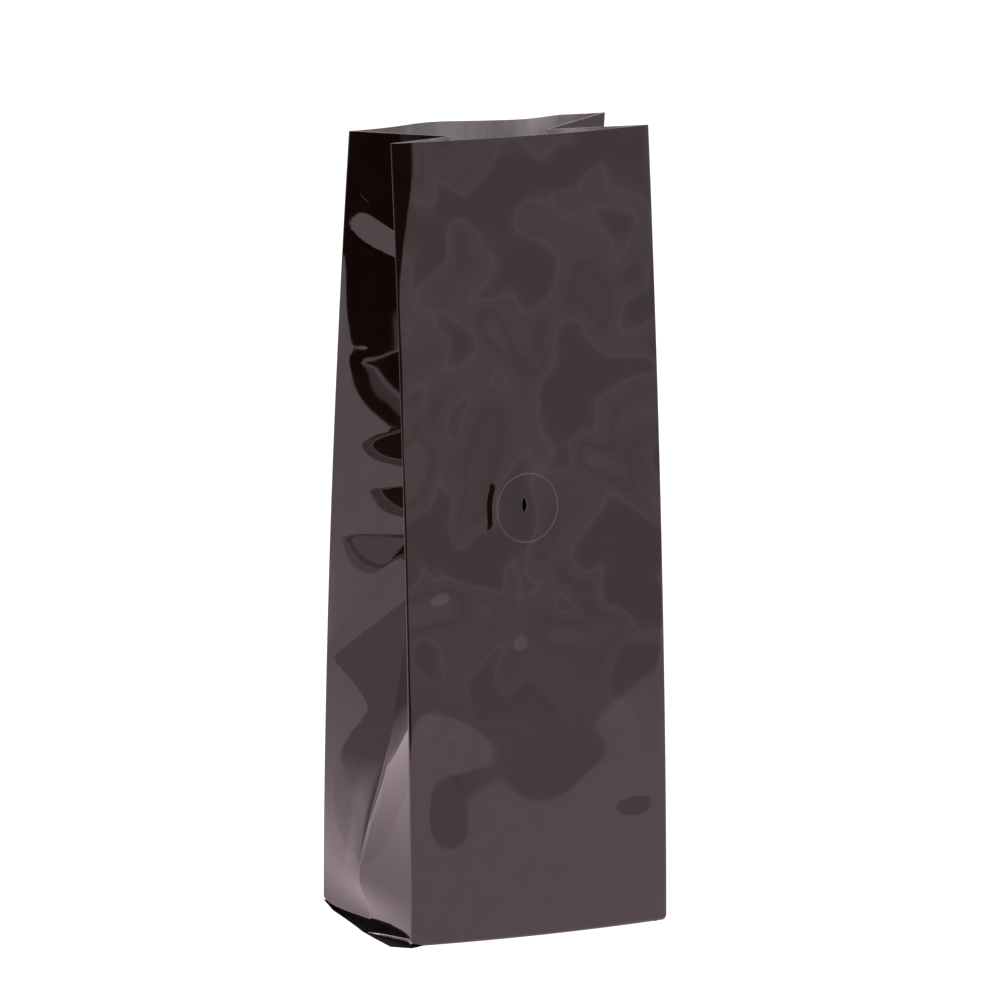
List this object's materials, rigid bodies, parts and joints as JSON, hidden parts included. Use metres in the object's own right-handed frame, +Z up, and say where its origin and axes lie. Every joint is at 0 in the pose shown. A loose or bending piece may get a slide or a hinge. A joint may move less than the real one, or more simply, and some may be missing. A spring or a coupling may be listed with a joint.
{
  "type": "side gusset bag",
  "caption": "Empty open side gusset bag of glossy dark barrier film, standing on a folded foot, with a degassing valve in its front panel.",
  "frame": {"origin": "on the ground, on the flat part of the foot, under the middle of the bag", "axes": "+Z up towards the open mouth, +X along the width of the front panel towards its right side, the front panel with the valve faces -Y"},
  "size_m": [0.1087, 0.0753, 0.28],
  "materials": {
    "bag_film": "glossy near-black laminated film, silver inside",
    "valve": "dark moulded plastic, satin"
  },
  "bodies": {
    "root": {"bag_film": "bag_film", "valve": "valve"}
  },
  "joints": []
}
